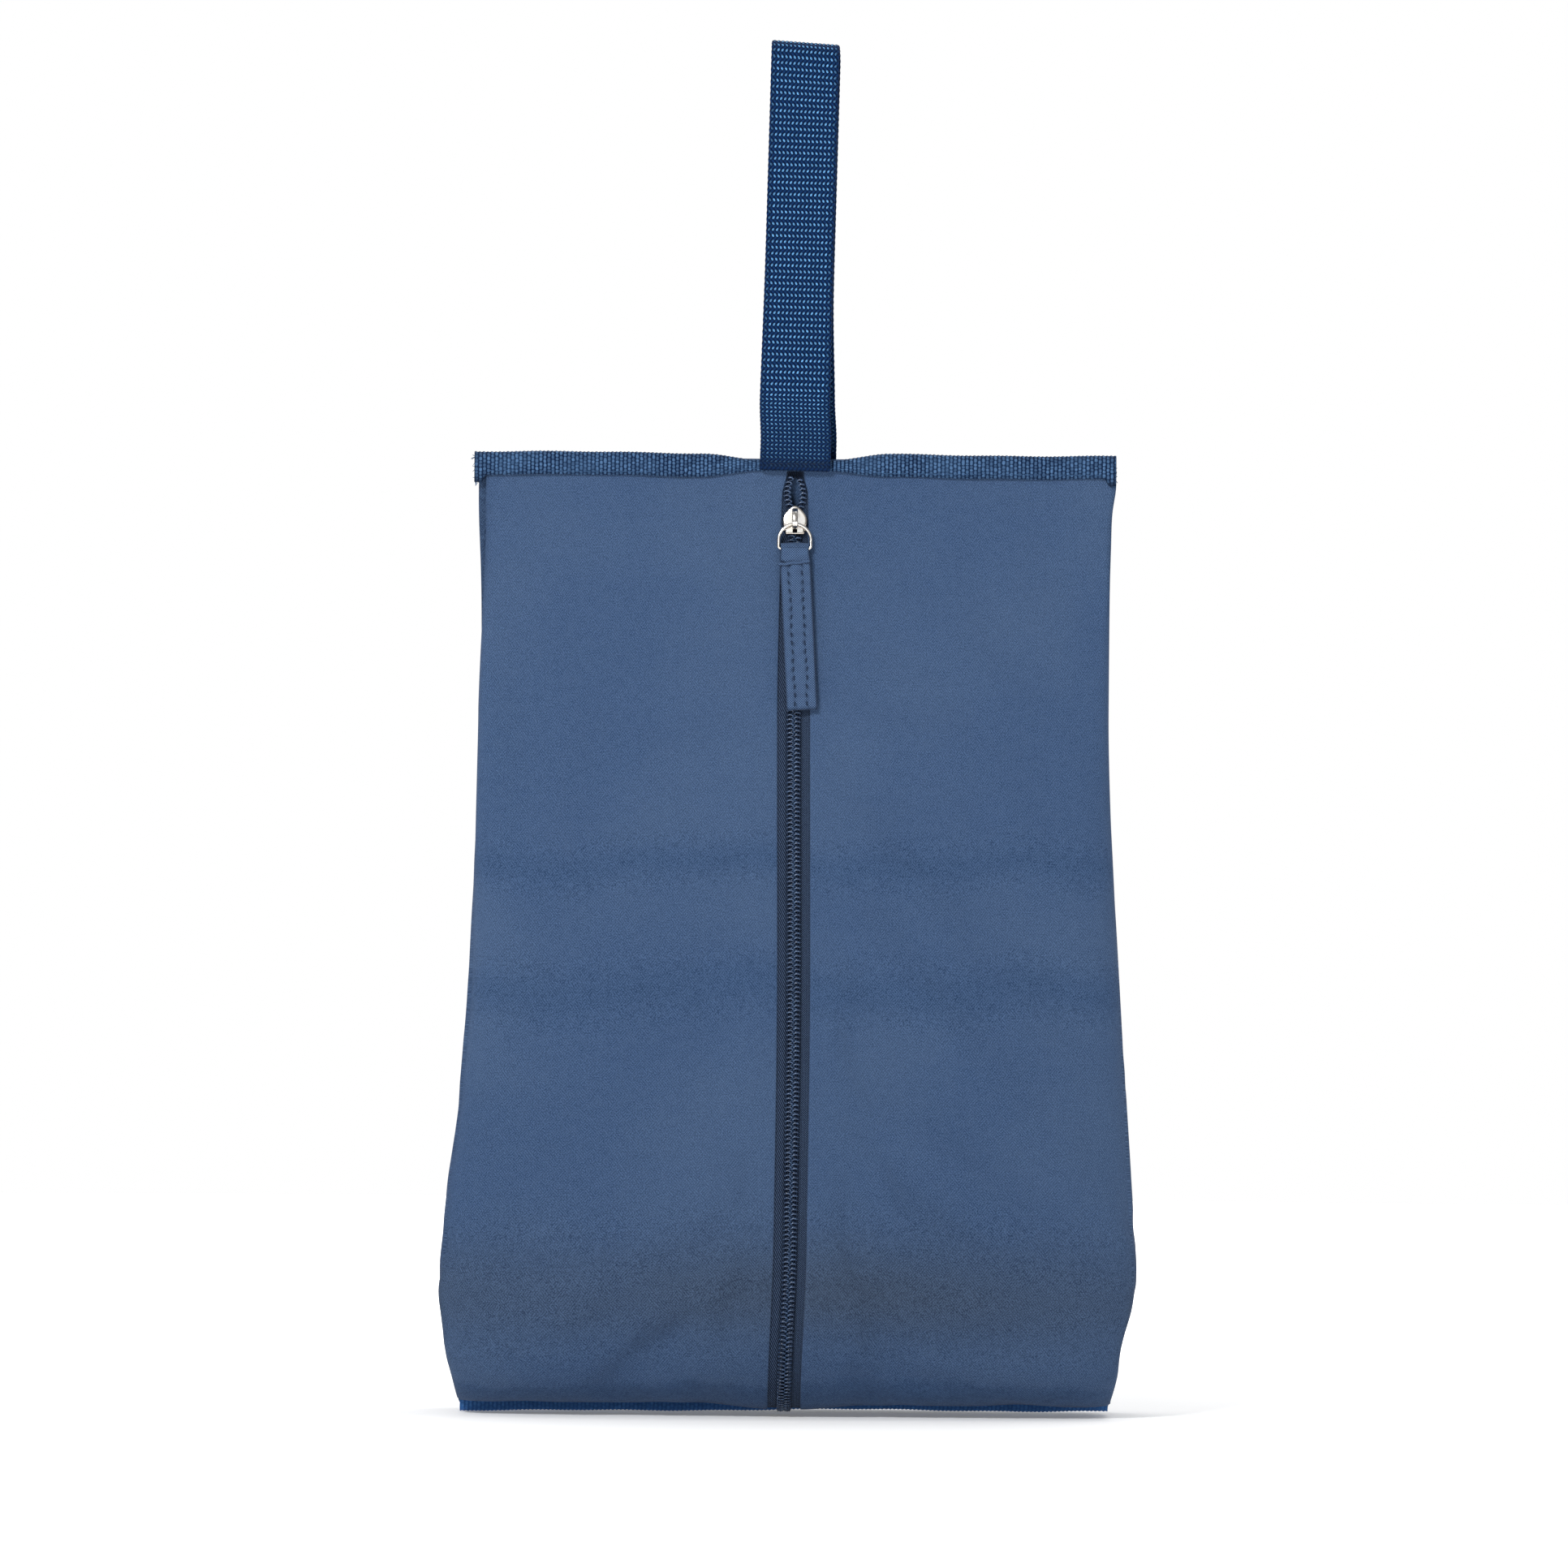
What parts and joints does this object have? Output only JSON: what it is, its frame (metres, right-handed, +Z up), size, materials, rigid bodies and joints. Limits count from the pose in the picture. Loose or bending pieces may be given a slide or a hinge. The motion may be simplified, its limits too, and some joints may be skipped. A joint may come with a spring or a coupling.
{
  "type": "golf shoe bag",
  "caption": "Gusseted cloth shoe bag with a front zip, bound top and bottom edges, a cloth pull tab and a webbing loop to hang or carry it by.",
  "frame": {"origin": "the inner top of the handle loop, where a hook or peg bears", "axes": "+Z up along the hanging bag, -Y out of the face with the zip, +X to the right of someone who faces the zip"},
  "size_m": [0.2519, 0.1027, 0.4958],
  "materials": {
    "cloth": "fine diagonal twill, matt, mid blue",
    "webbing": "coarse plain webbing, navy with a slight sheen",
    "binding": "ribbed woven tape, navy",
    "zip_tape": "herringbone woven tape, dark navy",
    "zip_coil": "nylon monofilament, dark navy, half gloss",
    "tab_cloth": "basket weave, matt, mid blue",
    "nickel": "bright nickel plate",
    "thread": "spun thread, dark navy"
  },
  "bodies": {
    "handle": {"handle_loop": "webbing"},
    "bag": {"handle_end_front": "webbing", "handle_end_rear": "webbing", "handle_stitching": "thread", "front_panel_left": "cloth", "front_panel_right": "cloth", "back_panel": "cloth", "gusset_left": "cloth", "gusset_right": "cloth", "top_binding": "binding", "top_binding_stitching": "thread", "bottom_binding": "binding", "bottom_binding_stitching": "thread", "zip_tape_left": "zip_tape", "zip_tape_right": "zip_tape", "zip_coil_left": "zip_coil", "zip_coil_right": "zip_coil"},
    "slider": {"slider_body": "nickel", "slider_bail": "nickel"},
    "ring": {"pull_ring": "nickel"},
    "tab": {"pull_tab": "tab_cloth", "pull_tab_stitching": "thread"}
  },
  "joints": [
    {"name": "handle_fold", "type": "hinge", "parent": "handle", "child": "bag", "pos_m": [-0.00323, 0, -0.14796], "axis": [1, 0, 0], "range_deg": [-60, 90]},
    {"name": "zip_slide", "type": "slide", "parent": "bag", "child": "slider", "axis": [0, -0.1682, -0.9858], "range_m": [0, 0.25]},
    {"name": "ring_lift", "type": "hinge", "parent": "slider", "child": "ring", "pos_m": [-0.00323, -0.00709, -0.17322], "axis": [1, 0, 0], "range_deg": [-90, 0]},
    {"name": "tab_lift", "type": "hinge", "parent": "ring", "child": "tab", "pos_m": [-0.00323, -0.00862, -0.18219], "axis": [1, 0, 0], "range_deg": [-30, 0]}
  ]
}
